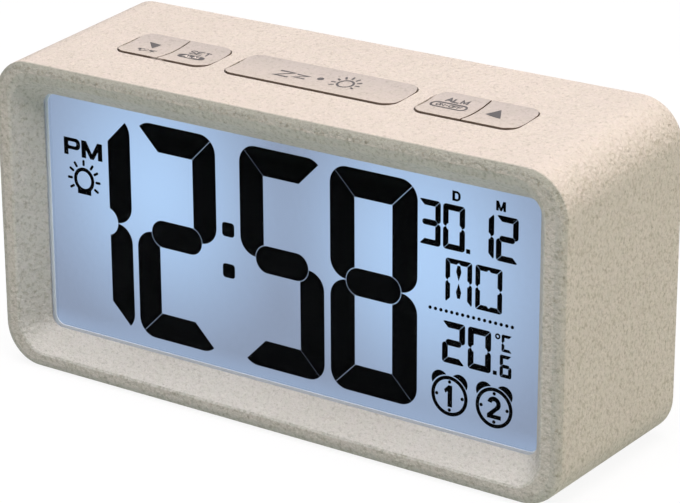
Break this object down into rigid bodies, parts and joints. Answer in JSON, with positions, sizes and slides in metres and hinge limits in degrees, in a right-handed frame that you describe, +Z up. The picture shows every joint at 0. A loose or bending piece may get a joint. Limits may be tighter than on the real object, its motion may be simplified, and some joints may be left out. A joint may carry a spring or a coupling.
{
  "type": "digital alarm clock",
  "caption": "Desk alarm clock: a deep rounded case with a sloped bezel, a lit blue segment display, pressing keys along its sloped top and a hinged battery door at the back",
  "frame": {"origin": "middle of the base, on the surface it stands on", "axes": "+X along the width to the right as the display is read, +Y to the back, +Z up"},
  "size_m": [0.14, 0.046, 0.0718],
  "materials": {
    "case_plastic": "matte, with short straw-coloured fibres",
    "key_plastic": "matte, with short straw-coloured fibres",
    "clear_window": "clear",
    "gasket": "matte white",
    "polariser": "clear film",
    "front_glass": "clear",
    "rear_glass": "lit from behind, pale blue",
    "seal": "matte",
    "segments": "matte black",
    "white_film": "matte white",
    "light_guide": "clear",
    "lamp": "gloss",
    "white_frame": "matte white",
    "elastomer": "matte",
    "board": "solder resist",
    "resin": "gloss black",
    "can": "satin",
    "chip": "matte",
    "sensor": "gloss",
    "screw_steel": "satin",
    "switch": "satin",
    "plunger": "matte",
    "ribbon": "matte",
    "buzzer": "matte black",
    "lead": "matte",
    "cell": "printed sleeve",
    "contact": "nickel plated"
  },
  "bodies": {
    "clock": {"case_shell": "case_plastic", "rear_cover": "case_plastic", "display_window": "clear_window", "display_gasket": "gasket", "front_polariser": "polariser", "rear_polariser": "polariser", "front_glass": "front_glass", "rear_glass": "rear_glass", "cell_seal": "seal", "time_segments": "segments", "date_segments": "segments", "temperature_segments": "segments", "sign_segments": "segments", "diffuser_film": "white_film", "reflector_sheet": "white_film", "light_guide": "light_guide", "backlight_lamps": "lamp", "display_frame": "white_frame", "contact_strip": "elastomer", "main_board": "board", "key_board": "board", "chip_blob": "resin", "quartz_crystal": "can", "chip_parts": "chip", "temperature_sensor": "sensor", "board_screws": "screw_steel", "key_board_screws": "screw_steel", "cover_screws": "screw_steel", "switch_bodies": "switch", "ribbon_cable": "ribbon", "buzzer": "buzzer", "buzzer_leads": "lead", "battery_leads": "lead", "battery_cells": "cell", "battery_plate": "contact", "battery_leaf": "contact", "battery_link": "contact"},
    "down_key": {"down_key": "key_plastic", "down_plunger": "plunger"},
    "set_key": {"set_key": "key_plastic", "set_plunger": "plunger"},
    "snooze_key": {"snooze_key": "key_plastic", "snooze_plunger": "plunger"},
    "alarm_key": {"alarm_key": "key_plastic", "alarm_plunger": "plunger"},
    "up_key": {"up_key": "key_plastic", "up_plunger": "plunger"},
    "battery_door": {"battery_door": "case_plastic"}
  },
  "joints": [
    {"name": "down_key_press", "type": "slide", "parent": "clock", "child": "down_key", "axis": [0, 0.0758, -0.9971], "range_m": [0, 0.0006], "stiffness_N_per_m": 800, "springref_m": -0.0004},
    {"name": "set_key_press", "type": "slide", "parent": "clock", "child": "set_key", "axis": [0, 0.0758, -0.9971], "range_m": [0, 0.0006], "stiffness_N_per_m": 800, "springref_m": -0.0004},
    {"name": "snooze_key_press", "type": "slide", "parent": "clock", "child": "snooze_key", "axis": [0, 0.0758, -0.9971], "range_m": [0, 0.0006], "stiffness_N_per_m": 800, "springref_m": -0.0004},
    {"name": "alarm_key_press", "type": "slide", "parent": "clock", "child": "alarm_key", "axis": [0, 0.0758, -0.9971], "range_m": [0, 0.0006], "stiffness_N_per_m": 800, "springref_m": -0.0004},
    {"name": "up_key_press", "type": "slide", "parent": "clock", "child": "up_key", "axis": [0, 0.0758, -0.9971], "range_m": [0, 0.0006], "stiffness_N_per_m": 800, "springref_m": -0.0004},
    {"name": "battery_door_hinge", "type": "hinge", "parent": "clock", "child": "battery_door", "pos_m": [0, 0.02045, 0.01535], "axis": [-1, 0, 0], "range_deg": [0, 90]}
  ]
}
